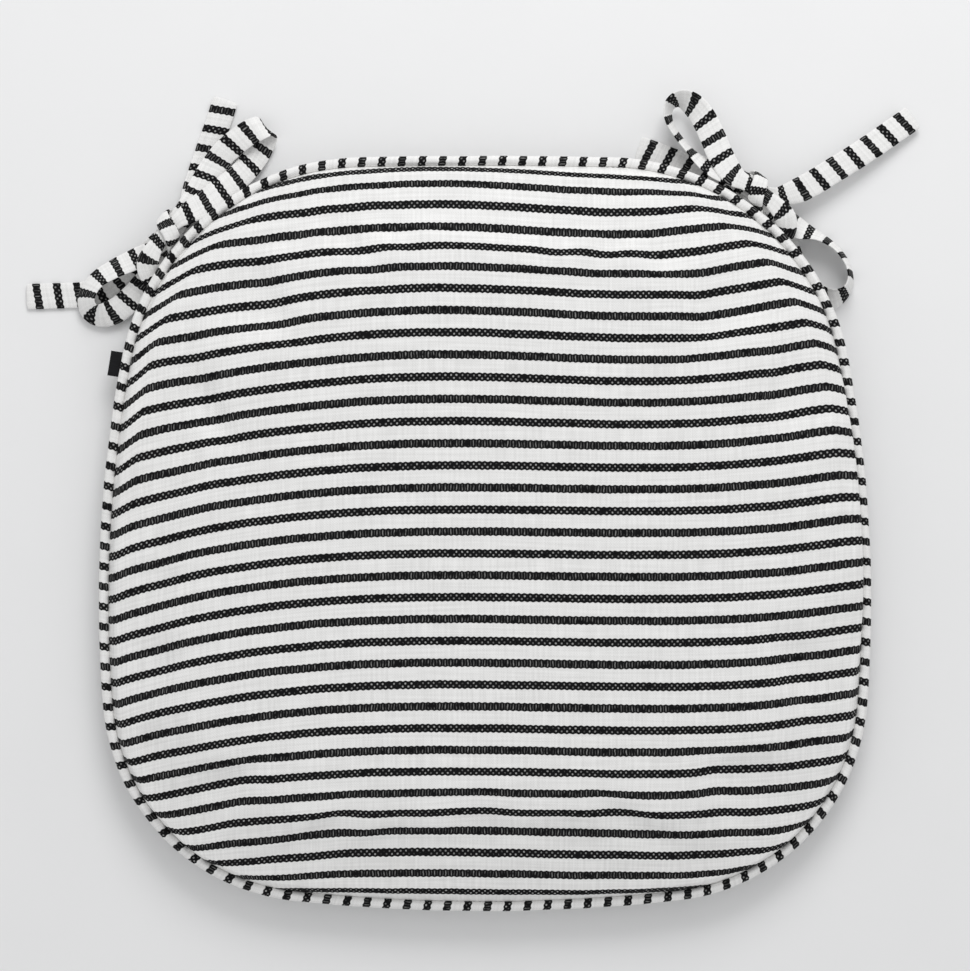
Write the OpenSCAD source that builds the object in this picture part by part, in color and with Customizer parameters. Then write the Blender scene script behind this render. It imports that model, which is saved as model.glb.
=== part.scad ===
// Tie-on seat pad: a horseshoe cushion of striped cotton over foam and wadding, with
// piping round the seam, two tied bows at the back corners and a zip underneath.
// Millimetres, +Z up, +Y to the back. The origin is the middle of the flat underside.

/* [Pad] */
// Width of the pad over the piping
pad_w = 401; // [320:1:500]
// Depth of the pad over the piping
pad_d = 392; // [320:1:500]
// Height of the crowned middle above the seam
top_rise = 20; // [18:1:40]
// Height of the seam above the underside
seam_z = 18; // [17:1:24]
// Radius of the two back corners
back_corner_r = 125; // [100:1:150]
// Radius of the two front corners
front_corner_r = 108; // [90:1:150]
// Radius of the bowed sides
side_bow_r = 670; // [500:10:1500]
// Radius of the bowed front edge
front_bow_r = 915; // [700:10:3000]
// Radius of the almost straight back edge
back_bow_r = 3000; // [2000:10:4000]
// How far in front of the middle the pad is widest
widest_y = 35; // [20:1:45]

/* [Cover] */
// Thickness of the woven cotton
fabric_t = 1.2; // [0.8:0.1:2]
// Outside diameter of the covered piping
piping_d = 5.2; // [4:0.1:8]
// Thickness of the fabric round the piping
piping_wall = 0.8; // [0.5:0.1:1]
// Clear gap between neighbouring soft pieces
soft_gap = 0.3; // [0.2:0.05:0.5]

/* [Filling] */
// Thickness of the foam
foam_t = 22; // [14:1:28]
// Height of the foam's lower face above the underside
foam_z = 8; // [7:0.5:10]
// Size of the foam as a share of the seam outline
foam_share = 0.88; // [0.7:0.01:0.9]

/* [Zip] */
// Distance from the back edge of the pad to the zip
zip_back = 78; // [66:1:106]
// Length of the zip between its stops
zip_l = 240; // [160:1:250]
// Width of the slot between the two underside panels
zip_slot = 9; // [8.6:0.1:12]
// Width of one zip tape
tape_w = 12.5; // [9:0.5:14]
// Thickness of a zip tape
tape_t = 0.6; // [0.4:0.1:0.8]
// Diameter of one zip coil
coil_d = 1.6; // [1.2:0.1:1.8]
// Clear lane between the two coils, which the slider's neck runs in
coil_lane = 1.6; // [1.4:0.1:2]
// Length of the slider
slider_l = 9; // [7:0.5:11]
// Length of the pull tab
pull_l = 17; // [12:0.5:22]

/* [Ties] */
// Width of a tie
tie_w = 13.5; // [10:0.5:14]
// Thickness of a tie
tie_t = 2; // [1.2:0.1:2.2]
// Place of the left bow round its back corner, in degrees from +X
left_bow_at = 138; // [125:1:145]
// Place of the right bow round its back corner, in degrees from +X
right_bow_at = 55; // [40:1:60]
// Distance of the middle of each knot outside the piping
knot_out = 7.4; // [6.4:0.1:11.4]

/* [Label] */
// Place of the folded label round the left back corner, in degrees from +X
label_at = 171; // [160:1:178]
// Length of the label along the seam
label_l = 13; // [8:0.5:25]
// How far the label stands out from the middle of the piping
label_out = 9; // [5:0.5:14]

/* [Hidden] */
$fn = 48;

white = "ivory";
black = [0.13, 0.13, 0.14];
steel = [0.72, 0.73, 0.75];

// The outline of the piping's middle is eight arcs, each tangent to the next.
half_w = (pad_w - piping_d) / 2;
half_d = (pad_d - piping_d) / 2;
back_c = [0, half_d - back_bow_r];
side_c = [half_w - side_bow_r, -widest_y];
front_c = [0, front_bow_r - half_d];

// The point at distance ra from a and rb from b, on the side that hint points to.
function meet(a, ra, b, rb, hint) =
    let (d = norm(b - a))
    let (along = (ra * ra - rb * rb + d * d) / (2 * d))
    let (off = sqrt(max(0, ra * ra - along * along)))
    let (e = (b - a) / d)
    let (m = a + along * e)
    let (n = [-e.y, e.x])
    (n * hint > 0) ? m + off * n : m - off * n;

function bearing(from, to) = atan2(to.y - from.y, to.x - from.x);

back_k = meet(back_c, back_bow_r - back_corner_r, side_c, side_bow_r - back_corner_r, [1, 1]);
front_k = meet(front_c, front_bow_r - front_corner_r, side_c, side_bow_r - front_corner_r, [1, -1]);
turn_back = bearing(back_c, back_k);
turn_side = bearing(side_c, back_k);
turn_front = bearing(side_c, front_k);
turn_nose = bearing(front_c, front_k);

// Right-hand arcs from the front round to the back: centre, radius, first and last angle.
right_arcs = [
    [front_c, front_bow_r, -90, turn_nose],
    [front_k, front_corner_r, turn_nose, turn_front],
    [side_c, side_bow_r, turn_front, turn_side],
    [back_k, back_corner_r, turn_side, turn_back],
    [back_c, back_bow_r, turn_back, 90]
];
arc_steps = [5, 9, 8, 9, 4];

function at(arc, inset, a) = arc[0] + (arc[1] - inset) * [cos(a), sin(a)];

right_side = function(inset) [
    for (k = [0:len(right_arcs) - 1])
        for (i = [0:arc_steps[k] - 1])
            let (arc = right_arcs[k])
            at(arc, inset, arc[2] + (arc[3] - arc[2]) * i / arc_steps[k])
];
function outline(inset) =
    let (right = right_side(inset))
    let (n = len(right))
    concat(right, [[0, half_d - inset]], [for (i = [n - 1:-1:1]) [-right[i].x, right[i].y]]);

// The panels meet just inside the piping.
seam_in = piping_d / 2 + soft_gap;
seam = outline(seam_in);
share = 1 / (half_w - seam_in);

// Crown of the top and bowl of the underside, as heights at a share s of the outline.
top_power = 7;
top_round = 2.3;
flat_share = 0.86;
rings = 9;
function crown(s, rise) = seam_z + soft_gap / 2 + rise * pow(1 - pow(s, top_power), 1 / top_round);
function bowl(s, drop) =
    let (e = max(0, (s - flat_share) / (1 - flat_share)))
    seam_z - soft_gap / 2 - drop * sqrt(max(0, 1 - e * e));
function ring_share(i) = sin(90 * i / rings);
bowl_shares = [0, 0.45, flat_share, 0.9, 0.93, 0.96, 0.98, 0.993, 1];
seam_drop = seam_z - soft_gap / 2;

// A closed solid lofted round the seam outline from a profile of [share, height] pairs
// that starts and ends on the axis.
module lofted(profile) {
    n = len(seam);
    inner = [for (i = [1:len(profile) - 2]) profile[i]];
    points = concat(
        [[0, 0, profile[0][1]]],
        [for (p = inner) for (q = seam) [q.x * p[0], q.y * p[0], p[1]]],
        [[0, 0, profile[len(profile) - 1][1]]]
    );
    last = len(points) - 1;
    low_cap = [for (j = [0:n - 1]) [0, 1 + j, 1 + (j + 1) % n]];
    sides = [
        for (i = [0:len(inner) - 2])
            for (j = [0:n - 1])
                for (tri = [0, 1])
                    let (a = 1 + i * n + j)
                    let (b = 1 + i * n + (j + 1) % n)
                    (tri == 0) ? [a, a + n, b] : [b, a + n, b + n]
    ];
    first = 1 + (len(inner) - 1) * n;
    high_cap = [for (j = [0:n - 1]) [last, first + (j + 1) % n, first + j]];
    polyhedron(points, concat(low_cap, sides, high_cap));
}

// Steps from the axis out to the seam, and back, for one surface of the crown or bowl.
function top_steps(back, rise) = [
    for (i = [0:rings])
        let (s = ring_share(i))
        [s * (1 - back * share), crown(s, rise)]
];
function bowl_steps(back, drop) = [for (s = bowl_shares) [s * (1 - back * share), bowl(s, drop)]];
function reverse(list) = [for (i = [len(list) - 1:-1:0]) list[i]];

module top_panel() {
    color(white) lofted(concat(
        top_steps(fabric_t, top_rise - fabric_t),
        reverse(top_steps(0, top_rise))
    ));
}

// The whole underside, before it is cut apart along the zip.
module underside() {
    lofted(concat(
        bowl_steps(0, seam_drop),
        reverse(bowl_steps(fabric_t, seam_drop - fabric_t))
    ));
}

hem_w = 9;
hem_t = 1.2;
zip_y = pad_d / 2 - zip_back;
hem_l = zip_l + 24;

// Folded edge of an underside panel, beside the zip slot.
module zip_hem(side) {
    y0 = zip_y + side * (zip_slot / 2 + hem_w / 2);
    translate([-hem_l / 2, y0 - hem_w / 2, fabric_t - 0.2]) cube([hem_l, hem_w, hem_t + 0.2]);
}

// One side of the underside panels' cut: a straight seam that opens into the zip slot.
module zip_side(side) {
    difference() {
        translate([-pad_w, zip_y + (side > 0 ? soft_gap / 2 : -pad_d - soft_gap / 2), -1])
            cube([2 * pad_w, pad_d, 2 * seam_z]);
        translate([-hem_l / 2, zip_y - zip_slot / 2, -2]) cube([hem_l, zip_slot, 2 * seam_z + 2]);
    }
}

module bottom_panel() {
    color(white) union() {
        intersection() {
            underside();
            zip_side(-1);
        }
        zip_hem(-1);
    }
}

module bottom_back_panel() {
    color(white) union() {
        intersection() {
            underside();
            zip_side(1);
        }
        zip_hem(1);
    }
}

// A closed ring swept round the outline from a section of [inset, height] points.
module swept_ring(section) {
    loops = [for (p = section) outline(p[0])];
    m = len(section);
    n = len(loops[0]);
    points = [for (i = [0:m - 1]) for (q = loops[i]) [q.x, q.y, section[i][1]]];
    faces = [
        for (i = [0:m - 1])
            for (j = [0:n - 1])
                for (tri = [0, 1])
                    let (a = i * n + j)
                    let (b = i * n + (j + 1) % n)
                    let (c = ((i + 1) % m) * n + j)
                    let (d = ((i + 1) % m) * n + (j + 1) % n)
                    (tri == 0) ? [a, c, b] : [b, c, d]
    ];
    polyhedron(points, faces);
}

// Points round the piping's middle, at a bearing from straight outwards.
function round_section(d, first, last, steps) = [
    for (i = [0:steps])
        let (a = first + (last - first) * i / steps)
        [-cos(a) * d / 2, seam_z + sin(a) * d / 2]
];

// The cover is a strip folded round the cord, so it is open towards the seam.
piping_bore = piping_d - 2 * piping_wall;
fold_open = 155;
module piping_cover() {
    color(white) swept_ring(concat(
        round_section(piping_d, -fold_open, fold_open, 11),
        round_section(piping_bore, fold_open, -fold_open, 9)
    ));
}

module piping_cord() {
    color("beige") swept_ring(round_section(piping_bore - soft_gap, 0, 315, 7));
}

module foam_core() {
    color("khaki") translate([0, 0, foam_z]) linear_extrude(foam_t) polygon(foam_share * seam);
}

// The wadding fills what is left between the foam and the cover.
lining = fabric_t + soft_gap;
foam_top = foam_z + foam_t + soft_gap;
foam_clear = foam_share + soft_gap * share;
wadding_rise = top_rise - lining;

module wadding_top() {
    color("white") lofted(concat(
        [[0, foam_top], [foam_clear, foam_top], [foam_clear, seam_z + soft_gap / 2]],
        reverse([for (i = [0:rings]) top_steps(lining, wadding_rise)[i]])
    ));
}

zip_room = 6.6;
module wadding_bottom() {
    color("white") difference() {
        lofted(concat(
            bowl_steps(lining, seam_drop - lining),
            [[foam_clear, seam_z - soft_gap / 2], [foam_clear, foam_z - soft_gap], [0, foam_z - soft_gap]]
        ));
        translate([-hem_l / 2 - 4, zip_y - zip_slot / 2 - tape_w - 2, 0])
            cube([hem_l + 8, zip_slot + 2 * tape_w + 4, zip_room]);
    }
}

// Each row of a tie's route is [along, out, height, heading, lean, width]: a place
// beside the knot, the way the strap's width points, and how wide the strap is there.
// Along runs with the piping and out points away from the pad.
root_upper = [
    [-24, -11, 13.4, 180, 0, 1], [-23.5, -7, 15.4, 165, 0, 0.95], [-20, -2.6, 17.8, 130, 0, 0.85],
    [-12, -0.4, 18.2, 100, 0, 0.65], [-3, 0.4, 18, 90, 0, 0.55], [6, 0, 17.8, 90, 0, 0.6]
];
root_lower = [
    [10, -11, 13.4, 0, 0, 1], [8.5, -7.5, 11, 0, 0, 0.85], [6, -0.4, 9.2, 0, 0, 0.7],
    [4, 6, 10.2, 0, 0, 0.64], [2, 7.8, 14.8, 0, 0, 0.62], [0.5, 4.6, 19.8, 0, 0, 0.62],
    [-1, -1, 21.2, 0, 0, 0.62], [-2.8, -4.8, 19.8, 0, 0, 0.62], [-5, -5.9, 15.3, 0, -15, 0.62],
    [-11.5, -6.8, 10.6, 60, -30, 0.64], [-21, -8.8, 9, 90, -8, 0.88]
];
left_upper = concat(root_upper, [
    [14, -2, 17, 90, 0, 0.9], [25, -4.4, 14.6, 94, 0, 1], [36, -6, 10.6, 94, 0, 1],
    [46, -6.9, 6.4, 92, 0, 1], [55, -6.4, 3.8, 90, 0, 1], [63.5, -4.6, 2.5, 88, 0, 1],
    [70, -2.2, 3.3, 86, 0, 1], [72.4, -0.2, 6, 86, 0, 1], [69, 2.6, 8.6, 86, 0, 1],
    [61, 5.2, 8.8, 88, 0, 1], [52, 6.8, 7.8, 90, 0, 1], [43, 7, 6.6, 92, 0, 1],
    [34, 5.6, 7.2, 94, 0, 1], [25, 3.2, 10, 96, 0, 1], [14, 2.2, 13.8, 92, 0, 0.7],
    [6, 3, 14.5, 90, 0, 0.42],
    [0, 3.1, 13.4, 90, 0, 0.4], [-6, 3, 12, 90, 0, 0.42], [-14, 2.8, 7.7, 90, 0, 0.66],
    [-22, 2.4, 4.6, 88, 0, 0.95], [-32, 3, 2.8, 80, 0, 1], [-44, 6, 1.5, 65, 0, 1],
    [-56, 13, 1.5, 50, 0, 1], [-66, 23, 1.5, 45, 0, 1], [-77, 34.5, 1.5, 45, 0, 1]
]);
left_lower = concat(root_lower, [
    [-30, -8, 7.8, 90, -4, 1], [-40, -7.6, 6.2, 88, 0, 1], [-49, -6.4, 5.6, 80, 6, 1],
    [-56.5, -3, 6, 52, 24, 1], [-60, 3, 7, 0, 38, 1], [-56.5, 9.4, 8.6, -60, 42, 1],
    [-47, 12, 9.4, -98, 42, 1], [-36, 9.2, 10, -112, 38, 1], [-25, 4.4, 11.4, -112, 26, 0.95],
    [-14.5, 0, 13.8, -105, 8, 0.7], [-6, -3, 14.5, -90, 0, 0.42], [0, -3.1, 13.4, -90, 0, 0.4],
    [6, -3, 12, -90, 0, 0.42], [13, -0.6, 9.6, -70, 0, 0.7], [20, 4, 6.8, -64, 0, 0.9],
    [30, 8.6, 3.4, -65, 0, 1], [41, 13.6, 1.5, -66, 0, 1], [55, 19.4, 1.5, -66, 0, 1],
    [70, 26, 1.5, -66, 0, 1]
]);
right_upper = concat(root_upper, [
    [15, 0, 16.8, 110, 0, 0.9], [25, 4.6, 14.6, 122, 0, 1], [35, 11, 12.4, 122, 8, 1],
    [45, 16.6, 10.6, 116, 18, 1], [54, 18.8, 9.4, 96, 35, 1], [60.5, 16.6, 8.8, 45, 58, 1],
    [62, 10.6, 8.4, -8, 66, 1], [57.6, 4.8, 8.2, -50, 70, 1], [49, 0.8, 8.2, -66, 72, 1],
    [38, -2.2, 10, -74, 68, 1], [27, -3, 12.6, -84, 45, 1], [16, -1, 14.2, -96, 16, 0.8],
    [7, 3, 14.5, -90, 0, 0.42], [0, 3.1, 13.4, -90, 0, 0.4], [-6, 3.4, 12, -95, 0, 0.42],
    [-12, 6, 11, -120, 0, 0.7], [-17, 11.4, 10.4, -140, 0, 0.95], [-22, 20, 10, -152, 0, 1],
    [-28, 34, 9, -157, 0, 1], [-34, 48, 7.6, -158, 0, 1], [-40, 64, 5.6, -160, 0, 1],
    [-46, 80.5, 3.4, -160, 0, 1]
]);
right_lower = concat(root_lower, [
    [-31, -14, 5.2, 104, -2, 1], [-41, -20, 2.4, 110, 0, 1], [-50, -24.6, 1.6, 112, 0, 1],
    [-58.5, -25.6, 3, 96, 10, 1], [-65.5, -22, 5.8, 56, 38, 1], [-69, -14.5, 7.6, 10, 66, 1],
    [-66.4, -7, 8, -36, 74, 1], [-59, -1.6, 8.2, -62, 74, 1], [-49, 0.8, 8.4, -82, 72, 1],
    [-39, 0, 8.6, -98, 62, 1], [-30, -2.4, 9, -102, 30, 1], [-21, -3.4, 11.2, -98, 4, 0.88],
    [-14, -2.6, 13.4, -92, 0, 0.64], [-6, -3, 14.5, -90, 0, 0.42],
    [0, -3.1, 13.4, -90, 0, 0.4], [6, -3, 12, -90, 0, 0.42], [14, -2.6, 9.6, -95, 0, 0.7],
    [24, -5.8, 5.2, -102, 0, 1], [34, -8.2, 2.6, -104, 0, 1], [44, -10.4, 1.5, -104, 0, 1],
    [54, -13, 1.5, -105, 0, 1], [63, -15.6, 1.5, -106, 0, 1]
]);

function unit(a) = a / norm(a);
tie_edge = 0.35;

// A flat strap swept along a route, as one closed solid with an eight-sided section.
module strap(route) {
    n = len(route);
    place = [for (r = route) [r[0], r[1], r[2]]];
    rows = [
        for (i = [0:n - 1])
            let (t = unit(place[min(i + 1, n - 1)] - place[max(i - 1, 0)]))
            let (h = route[i][3])
            let (l = route[i][4])
            let (w0 = [cos(h) * cos(l), sin(h) * cos(l), sin(l)])
            let (w = unit(w0 - (w0 * t) * t))
            let (f = cross(t, w))
            let (a = tie_w * route[i][5] / 2)
            let (b = tie_t / 2)
            let (e = b * tie_edge)
            for (c = [[a, -e], [a, e], [a - b, b], [b - a, b], [-a, e], [-a, -e], [b - a, -b], [a - b, -b]])
                place[i] + c[0] * w + c[1] * f
    ];
    start_cap = [for (k = [7:-1:0]) k];
    end_cap = [for (k = [0:7]) (n - 1) * 8 + k];
    sides = [
        for (i = [0:n - 2])
            for (k = [0:7])
                for (tri = [0, 1])
                    let (a = i * 8 + k)
                    let (b = i * 8 + (k + 1) % 8)
                    (tri == 0) ? [a, b, a + 8] : [b, b + 8, a + 8]
    ];
    polyhedron(rows, concat([reverse(start_cap)], [reverse(end_cap)], [for (f = sides) reverse(f)]));
}

// Moves a left-hand bow from its knot's own frame to its back corner.
module at_left_bow() {
    translate([-back_k.x, back_k.y, 0])
        rotate([0, 0, left_bow_at - 90])
            translate([0, back_corner_r + piping_d / 2 + knot_out, 0])
                children();
}

module at_right_bow() {
    translate([back_k.x, back_k.y, 0])
        rotate([0, 0, right_bow_at - 90])
            translate([0, back_corner_r + piping_d / 2 + knot_out, 0])
                mirror([1, 0, 0])
                    children();
}

module left_tie_upper() {
    color(black) at_left_bow() strap(left_upper);
}

module left_tie_lower() {
    color(white) at_left_bow() strap(left_lower);
}

module right_tie_upper() {
    color(black) at_right_bow() strap(right_upper);
}

module right_tie_lower() {
    color(white) at_right_bow() strap(right_lower);
}

label_t = 0.5;
label_bend = 1.4;
module side_label() {
    color(black)
        translate([-back_k.x, back_k.y, seam_z - piping_d / 2 - soft_gap - label_bend / 2])
            rotate([0, 0, label_at])
                translate([back_corner_r, label_l / 2, 0])
                    rotate([90, 0, 0])
                        linear_extrude(label_l)
                            difference() {
                                union() {
                                    translate([0, -label_bend / 2])
                                        square([label_out - label_bend / 2, label_bend]);
                                    translate([label_out - label_bend / 2, 0]) circle(d = label_bend);
                                }
                                translate([-1, label_t - label_bend / 2])
                                    square([label_out - label_bend / 2 + 1, label_bend - 2 * label_t]);
                            }
}

coil_y = coil_lane / 2 + coil_d / 2;
tape_z = fabric_t + hem_t + 0.9;
coil_z = tape_z + tape_t / 2;
tape_l = zip_l + 20;

module zip_tape(side) {
    near = coil_y + coil_d / 2 + 0.1;
    y0 = zip_y + side * (near + tape_w / 2);
    translate([-tape_l / 2, y0 - tape_w / 2, tape_z]) cube([tape_l, tape_w, tape_t]);
}

module zip_tape_front() {
    color(white) zip_tape(-1);
}

module zip_tape_back() {
    color(white) zip_tape(1);
}

module zip_coil(side) {
    translate([-zip_l / 2, zip_y + side * coil_y, coil_z])
        rotate([0, 90, 0])
            cylinder(d = coil_d, h = zip_l);
}

module zip_coil_front() {
    color(white) zip_coil(-1);
}

module zip_coil_back() {
    color(white) zip_coil(1);
}

stop_l = 3;
stop_gap = 0.4;
module zip_stop(x) {
    w = 2 * (coil_y + coil_d / 2);
    translate([x, zip_y - w / 2, coil_z - coil_d / 2]) cube([stop_l, w, coil_d]);
}

module zip_top_stop() {
    color(steel) zip_stop(zip_l / 2 + stop_gap);
}

module zip_bottom_stop() {
    color(steel) zip_stop(-zip_l / 2 - stop_gap - stop_l);
}

// The slider is two plates joined by a neck that runs between the coils. It has two
// ears and a pin below, and the pull tab turns on the pin.
slider_x = zip_l / 2 - slider_l / 2 - 1;
slider_w = 2 * coil_y + coil_d + 1.2;
plate_t = 0.8;
plate_gap = 0.3;
plate_low = coil_z - coil_d / 2 - plate_gap - plate_t;
plate_high = coil_z + coil_d / 2 + plate_gap;
neck_w = coil_lane - 2 * plate_gap;
pin_d = 0.9;
pin_z = 0.8;
pin_x = slider_x - 1;
ear_in = 1.7;
ear_w = 0.7;
ear_l = 1.6;
eye_d = pin_d + 0.3;

module zip_slider() {
    color(steel) union() {
        translate([slider_x - slider_l / 2, zip_y - slider_w / 2, plate_low])
            cube([slider_l, slider_w, plate_t]);
        translate([slider_x - slider_l / 2, zip_y - slider_w / 2, plate_high])
            cube([slider_l, slider_w, plate_t]);
        translate([slider_x + slider_l / 2 - 3, zip_y - neck_w / 2, plate_low + plate_t / 2])
            cube([2.4, neck_w, plate_high - plate_low]);
        for (side = [-1, 1])
            let (ear_y = zip_y + side * (ear_in + ear_w / 2) - ear_w / 2)
            translate([pin_x - ear_l / 2, ear_y, pin_z - pin_d / 2])
                cube([ear_l, ear_w, plate_low - pin_z + pin_d / 2 + plate_t / 2]);
        translate([pin_x, zip_y - ear_in - ear_w / 2, pin_z])
            rotate([-90, 0, 0]) cylinder(d = pin_d, h = 2 * ear_in + ear_w);
    }
}

pull_t = 0.6;
pull_eye_w = 2 * (ear_in - 0.25);
pull_w = 5;
module zip_pull() {
    color(steel) difference() {
        union() {
            translate([pin_x, zip_y - pull_eye_w / 2, pin_z])
                rotate([-90, 0, 0])
                    cylinder(d = eye_d + 0.3, h = pull_eye_w);
            translate([pin_x - 4, zip_y - pull_eye_w / 2, pin_z - pull_t / 2])
                cube([4, pull_eye_w, pull_t]);
            translate([pin_x - pull_l, zip_y - pull_w / 2, pin_z - pull_t / 2])
                cube([pull_l - 3, pull_w, pull_t]);
        }
        translate([pin_x, zip_y - pull_w, pin_z]) rotate([-90, 0, 0]) cylinder(d = eye_d, h = 2 * pull_w);
    }
}

top_panel();
bottom_panel();
bottom_back_panel();
piping_cover();
piping_cord();
foam_core();
wadding_top();
wadding_bottom();
left_tie_upper();
left_tie_lower();
right_tie_upper();
right_tie_lower();
side_label();
zip_tape_front();
zip_tape_back();
zip_coil_front();
zip_coil_back();
zip_slider();
zip_pull();
zip_top_stop();
zip_bottom_stop();
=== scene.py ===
import math
from bisect import bisect

import bmesh
import bpy
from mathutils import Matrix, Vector, noise


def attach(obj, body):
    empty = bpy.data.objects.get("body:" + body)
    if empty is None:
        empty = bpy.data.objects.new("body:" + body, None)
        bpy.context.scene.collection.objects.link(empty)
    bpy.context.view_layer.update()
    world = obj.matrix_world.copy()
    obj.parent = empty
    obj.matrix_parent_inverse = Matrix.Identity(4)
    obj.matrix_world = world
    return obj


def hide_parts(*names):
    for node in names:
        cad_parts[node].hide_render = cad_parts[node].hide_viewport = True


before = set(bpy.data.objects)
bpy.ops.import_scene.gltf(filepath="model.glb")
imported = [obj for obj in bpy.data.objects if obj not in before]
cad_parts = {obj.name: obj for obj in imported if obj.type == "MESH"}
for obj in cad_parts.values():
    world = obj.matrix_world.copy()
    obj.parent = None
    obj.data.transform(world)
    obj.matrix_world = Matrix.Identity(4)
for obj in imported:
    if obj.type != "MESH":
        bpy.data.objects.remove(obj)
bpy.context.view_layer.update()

# ---------------------------------------------------------------- camera, floor and light
# The pad lies flat on a plain pale floor. The camera looks straight down on it,
# and soft daylight comes from beyond its back edge.
camera_height = 1.6
field_width = 0.504
piping_height = 0.018
camera_data = bpy.data.cameras.new("overhead")
camera_data.sensor_width = 36
camera_data.lens = 36 * (camera_height - piping_height) / field_width
camera = bpy.data.objects.new("overhead", camera_data)
camera.location = (0, 0.0249, camera_height)
bpy.context.scene.collection.objects.link(camera)
bpy.context.scene.camera = camera
bpy.context.scene.view_settings.view_transform = "Standard"


def new_finish(name, roughness):
    finish = bpy.data.materials.new(name)
    finish.use_nodes = True
    shader = finish.node_tree.nodes["Principled BSDF"]
    shader.inputs["Roughness"].default_value = roughness
    return finish, shader


def maths(tree, operation, *values):
    node = tree.nodes.new("ShaderNodeMath")
    node.operation = operation
    for socket, value in zip(node.inputs, values):
        if isinstance(value, (int, float)):
            socket.default_value = value
        else:
            tree.links.new(value, socket)
    return node.outputs[0]


def clamped(tree, value, low, high):
    node = tree.nodes.new("ShaderNodeMapRange")
    node.inputs["From Min"].default_value = low
    node.inputs["From Max"].default_value = high
    tree.links.new(value, node.inputs["Value"])
    return node.outputs[0]


def grain(tree, place, size, detail=2.0, stretch=(1, 1, 1)):
    spread = tree.nodes.new("ShaderNodeMapping")
    spread.inputs["Scale"].default_value = stretch
    tree.links.new(place, spread.inputs["Vector"])
    node = tree.nodes.new("ShaderNodeTexNoise")
    node.inputs["Scale"].default_value = 1 / size
    node.inputs["Detail"].default_value = detail
    tree.links.new(spread.outputs[0], node.inputs["Vector"])
    return node.outputs["Fac"]


def blended(tree, share, first, second):
    node = tree.nodes.new("ShaderNodeMix")
    node.data_type = "RGBA"
    for socket, value in zip((node.inputs[0], node.inputs[6], node.inputs[7]), (share, first, second)):
        if isinstance(value, tuple):
            socket.default_value = (*value, 1)
        elif isinstance(value, (int, float)):
            socket.default_value = value
        else:
            tree.links.new(value, socket)
    return node.outputs[2]


def raised(tree, shader, height, depth, strength=1.0):
    bump = tree.nodes.new("ShaderNodeBump")
    bump.inputs["Distance"].default_value = depth
    bump.inputs["Strength"].default_value = strength
    tree.links.new(height, bump.inputs["Height"])
    tree.links.new(bump.outputs[0], shader.inputs["Normal"])


def to_object(name, form, finish=None):
    mesh = bpy.data.meshes.new(name)
    form.to_mesh(mesh)
    form.free()
    mesh.shade_smooth()
    piece = bpy.data.objects.new(name, mesh)
    bpy.context.scene.collection.objects.link(piece)
    if finish:
        mesh.materials.append(finish)
    return piece


floor_form = bmesh.new()
bmesh.ops.create_grid(floor_form, x_segments=1, y_segments=1, size=4)
floor_finish, floor_shader = new_finish("pale floor", 0.75)
floor_tree = floor_finish.node_tree
floor_place = floor_tree.nodes.new("ShaderNodeTexCoord").outputs["Object"]
floor_tree.links.new(
    blended(floor_tree, grain(floor_tree, floor_place, 0.05), (0.875, 0.875, 0.878), (0.895, 0.895, 0.897)),
    floor_shader.inputs["Base Color"],
)
floor = to_object("floor", floor_form, floor_finish)

sky = bpy.data.worlds.new("soft sky")
sky.use_nodes = True
sky.node_tree.nodes["Background"].inputs["Color"].default_value = (0.99, 0.995, 1, 1)
sky.node_tree.nodes["Background"].inputs["Strength"].default_value = 0.645
bpy.context.scene.world = sky


def window_light(name, place, aim, size, power):
    lamp = bpy.data.lights.new(name, "AREA")
    lamp.shape = "DISK"
    lamp.size = size
    lamp.energy = power
    holder = bpy.data.objects.new(name, lamp)
    holder.location = place
    holder.rotation_euler = (Vector(aim) - Vector(place)).to_track_quat("-Z", "Y").to_euler()
    bpy.context.scene.collection.objects.link(holder)


window_light("window", (0.15, 1.25, 1.1), (0, 0.05, 0), 0.9, 11.2)

# ---------------------------------------------------------------- the four ties
# Flat straps 13.5 mm wide, sewn from the striped cover cloth with the stripes
# running across them and the ends turned in. Each back corner has two, sewn into
# the seam behind the piping and tied to each other in a small bow.
tie_width = 0.0135
tie_thickness = 0.0022
# Each row of a route says how far it is along the seam, away from the corner and up
# from the floor, then how the strap's width is turned and tilted, and its share of
# the full width where it is gathered.
root_upper = [
    (-0.024, -0.011, 0.0134, 180, 0, 1), (-0.0235, -0.007, 0.0154, 165, 0, 0.95),
    (-0.02, -0.0026, 0.0178, 130, 0, 0.85), (-0.012, -0.0004, 0.0182, 100, 0, 0.65),
    (-0.003, 0.0004, 0.018, 90, 0, 0.55), (0.006, 0, 0.0178, 90, 0, 0.6),
]
root_lower = [
    (0.01, -0.011, 0.0134, 0, 0, 1), (0.0085, -0.0075, 0.011, 0, 0, 0.85),
    (0.006, -0.0004, 0.0092, 0, 0, 0.7), (0.004, 0.006, 0.0102, 0, 0, 0.64),
    (0.002, 0.0078, 0.0148, 0, 0, 0.62), (0.0005, 0.0046, 0.0198, 0, 0, 0.62),
    (-0.001, -0.001, 0.0212, 0, 0, 0.62), (-0.0028, -0.0048, 0.0198, 0, 0, 0.62),
    (-0.005, -0.0059, 0.0153, 0, -15, 0.62), (-0.0115, -0.0068, 0.0106, 60, -30, 0.64),
    (-0.021, -0.0088, 0.009, 90, -8, 0.88),
]
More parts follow.
